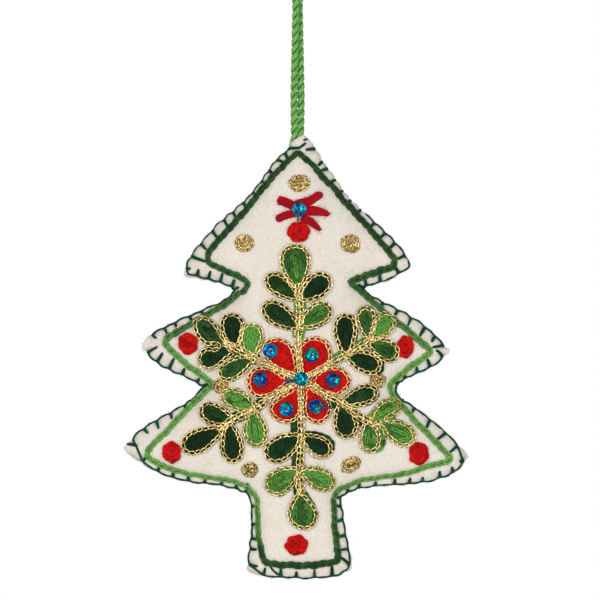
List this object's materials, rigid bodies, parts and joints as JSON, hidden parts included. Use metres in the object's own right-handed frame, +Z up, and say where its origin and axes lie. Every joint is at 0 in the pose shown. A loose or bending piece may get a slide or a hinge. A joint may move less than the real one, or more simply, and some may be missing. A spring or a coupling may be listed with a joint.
{
  "type": "felt christmas ornament",
  "caption": "Stuffed felt Christmas tree ornament with embroidered sprigs, dots and sequins and a blanket-stitched rim, hanging from a twisted cord loop.",
  "frame": {"origin": "inside top of the cord loop, where a hook carries the ornament", "axes": "+Z up along the hanging tree, +X to the right as seen from the embroidered front, +Y from the front to the back"},
  "size_m": [0.0982, 0.0176, 0.1889],
  "materials": {
    "green_cord": "twisted two-ply yarn cord",
    "cream_felt": "matte wool felt",
    "white_fibre": "loose fibre filling",
    "rim_thread": "dark green sewing wool",
    "border_yarn": "variegated green embroidery wool",
    "leaf_wool": "green embroidery wool, dark to light from leaf to leaf",
    "red_wool": "red embroidery wool",
    "star_wool": "crimson straight stitches",
    "gold_thread": "metallic gold embroidery thread",
    "sequin_film": "metallised cup sequin, blue to teal"
  },
  "bodies": {
    "hanger": {"hanger_cord": "green_cord"},
    "tree": {"cord_tails": "green_cord", "front_felt_panel": "cream_felt", "back_felt_panel": "cream_felt", "fibre_stuffing": "white_fibre", "rim_blanket_stitch": "rim_thread", "border_stitch": "border_yarn", "sprig_top": "leaf_wool", "sprig_upper_left": "leaf_wool", "sprig_upper_right": "leaf_wool", "sprig_lower_left": "leaf_wool", "sprig_lower_right": "leaf_wool", "sprig_bottom": "leaf_wool", "gold_line_top": "gold_thread", "gold_line_upper_left": "gold_thread", "gold_line_upper_right": "gold_thread", "gold_line_lower_left": "gold_thread", "gold_line_lower_right": "gold_thread", "gold_line_bottom": "gold_thread", "petal_upper_left": "red_wool", "petal_upper_right": "red_wool", "petal_left": "red_wool", "petal_right": "red_wool", "petal_lower_left": "red_wool", "petal_lower_right": "red_wool", "red_dot_under_star": "red_wool", "red_dot_middle_left": "red_wool", "red_dot_middle_right": "red_wool", "red_dot_lower_left": "red_wool", "red_dot_lower_right": "red_wool", "red_dot_trunk": "red_wool", "gold_dot_top": "gold_thread", "gold_dot_top_left": "gold_thread", "gold_dot_top_right": "gold_thread", "gold_dot_middle_left": "gold_thread", "gold_dot_middle_right": "gold_thread", "gold_dot_bottom_left": "gold_thread", "gold_dot_bottom_right": "gold_thread", "red_star": "star_wool", "sequin_upper_left": "sequin_film", "sequin_upper_right": "sequin_film", "sequin_left": "sequin_film", "sequin_right": "sequin_film", "sequin_lower_left": "sequin_film", "sequin_lower_right": "sequin_film", "sequin_star": "sequin_film", "sequin_centre": "sequin_film"}
  },
  "joints": [
    {"name": "tree_swing", "type": "hinge", "parent": "hanger", "child": "tree", "pos_m": [0, 0, -0.05915], "axis": [1, 0, 0], "range_deg": [-90, 90]}
  ]
}
